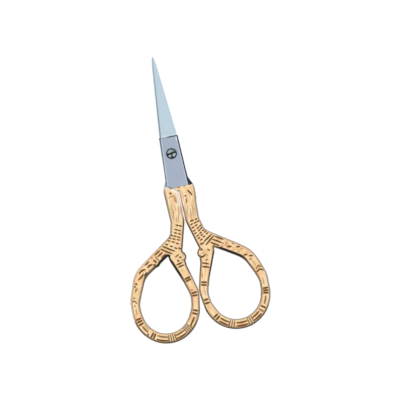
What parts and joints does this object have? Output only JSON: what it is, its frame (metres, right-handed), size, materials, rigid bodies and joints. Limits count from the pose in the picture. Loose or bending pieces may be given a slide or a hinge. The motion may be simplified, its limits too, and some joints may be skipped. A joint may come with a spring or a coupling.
{
  "type": "embroidery scissors",
  "caption": "Small forged embroidery scissors with slender steel blades, a lapped heel with a slotted pivot screw and engraved gold-plated handles.",
  "frame": {"origin": "on the pivot's axis, at the back face that the closed scissors lie on", "axes": "+Y towards the tips, +Z out of the front face with the screw's head, +X across to the handle of the front half"},
  "size_m": [0.0498, 0.1009, 0.0034],
  "materials": {
    "blade_steel": "polished",
    "gold_plate": "polished, with dark engraved lines",
    "screw_steel": "satin"
  },
  "bodies": {
    "back_half": {"back_blade": "blade_steel", "back_handle": "gold_plate", "pivot_screw": "screw_steel"},
    "front_half": {"front_blade": "blade_steel", "front_handle": "gold_plate"}
  },
  "joints": [
    {"name": "pivot", "type": "hinge", "parent": "back_half", "child": "front_half", "pos_m": [0, 0, 0], "axis": [0, 0, 1], "range_deg": [0, 142]}
  ]
}
